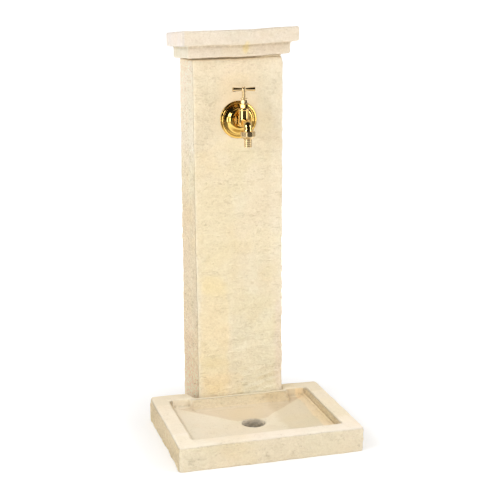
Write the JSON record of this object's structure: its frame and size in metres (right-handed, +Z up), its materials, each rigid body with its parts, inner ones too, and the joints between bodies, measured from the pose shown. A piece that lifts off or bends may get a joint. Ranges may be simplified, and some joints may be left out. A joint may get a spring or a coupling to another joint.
{
  "type": "drinking fountain",
  "caption": "Garden standpipe fountain: a rectangular stone column with a stepped cap and a brass hose tap, standing behind a shallow square stone tray with a waste hole.",
  "frame": {"origin": "on the ground, in the middle of the overall box", "axes": "+X is to the user's right, +Y to the back, +Z up; the user stands on the -Y side, where the tap and the tray are"},
  "size_m": [0.41, 0.409, 0.9],
  "materials": {
    "cast_stone": "fine cast stone, cream, pitted and worn at the edges, matt",
    "mortar": "sanded mortar joint, matt",
    "polished_brass": "polished yellow brass",
    "satin_brass": "turned brass, pale and satin",
    "plumbing_brass": "plain brass fittings, as cast and turned",
    "copper": "copper tube, dulled",
    "stainless_screws": "bright stainless steel",
    "plug_plastic": "grey nylon",
    "clip_plastic": "white nylon",
    "fibre_washer": "red fibre washer",
    "packing": "packing ring",
    "rubber_washer": "black rubber"
  },
  "bodies": {
    "fountain": {"column": "cast_stone", "mortar_bed": "mortar", "cap": "cast_stone", "tray": "cast_stone", "wall_elbow": "plumbing_brass", "riser_pipe": "copper", "inlet_fitting": "plumbing_brass", "elbow_compression_nut": "plumbing_brass", "elbow_olive": "plumbing_brass", "inlet_compression_nut": "plumbing_brass", "inlet_olive": "plumbing_brass", "elbow_screws": "stainless_screws", "elbow_plugs": "plug_plastic", "pipe_clips": "clip_plastic", "clip_screws": "stainless_screws", "clip_plugs": "plug_plastic", "tap_extension": "plumbing_brass", "rosette": "polished_brass", "tap_body": "polished_brass", "bonnet_washer": "fibre_washer", "bonnet": "polished_brass", "gland_packing": "packing", "gland_nut": "satin_brass"},
    "valve": {"jumper": "satin_brass", "valve_washer": "rubber_washer", "jumper_nut": "satin_brass"},
    "spindle_and_handle": {"spindle": "satin_brass", "t_handle": "satin_brass", "handle_screw": "satin_brass"},
    "hose_tail_and_washer": {"hose_tail": "satin_brass", "hose_washer": "rubber_washer"},
    "union_nut": {"union_nut": "satin_brass"}
  },
  "joints": [
    {"name": "valve_lift", "type": "slide", "parent": "fountain", "child": "valve", "axis": [0, 0, 1], "range_m": [0, 0.006]},
    {"name": "handle_turn", "type": "hinge", "parent": "valve", "child": "spindle_and_handle", "pos_m": [0, 0.0275, 0.773], "axis": [0, 0, 1], "range_deg": [0, 1080]},
    {"name": "hose_tail_drop", "type": "slide", "parent": "fountain", "child": "hose_tail_and_washer", "axis": [0, 0, -1], "range_m": [0, 0.00907]},
    {"name": "union_nut_turn", "type": "hinge", "parent": "hose_tail_and_washer", "child": "union_nut", "pos_m": [0, -0.0055, 0.6785], "axis": [0, 0, -1], "range_deg": [0, 1800]}
  ],
  "couplings": [
    {"joint": "handle_turn", "follows": "valve_lift", "rad_per_m": 3141.6},
    {"joint": "union_nut_turn", "follows": "hose_tail_drop", "rad_per_m": 3463.7}
  ]
}
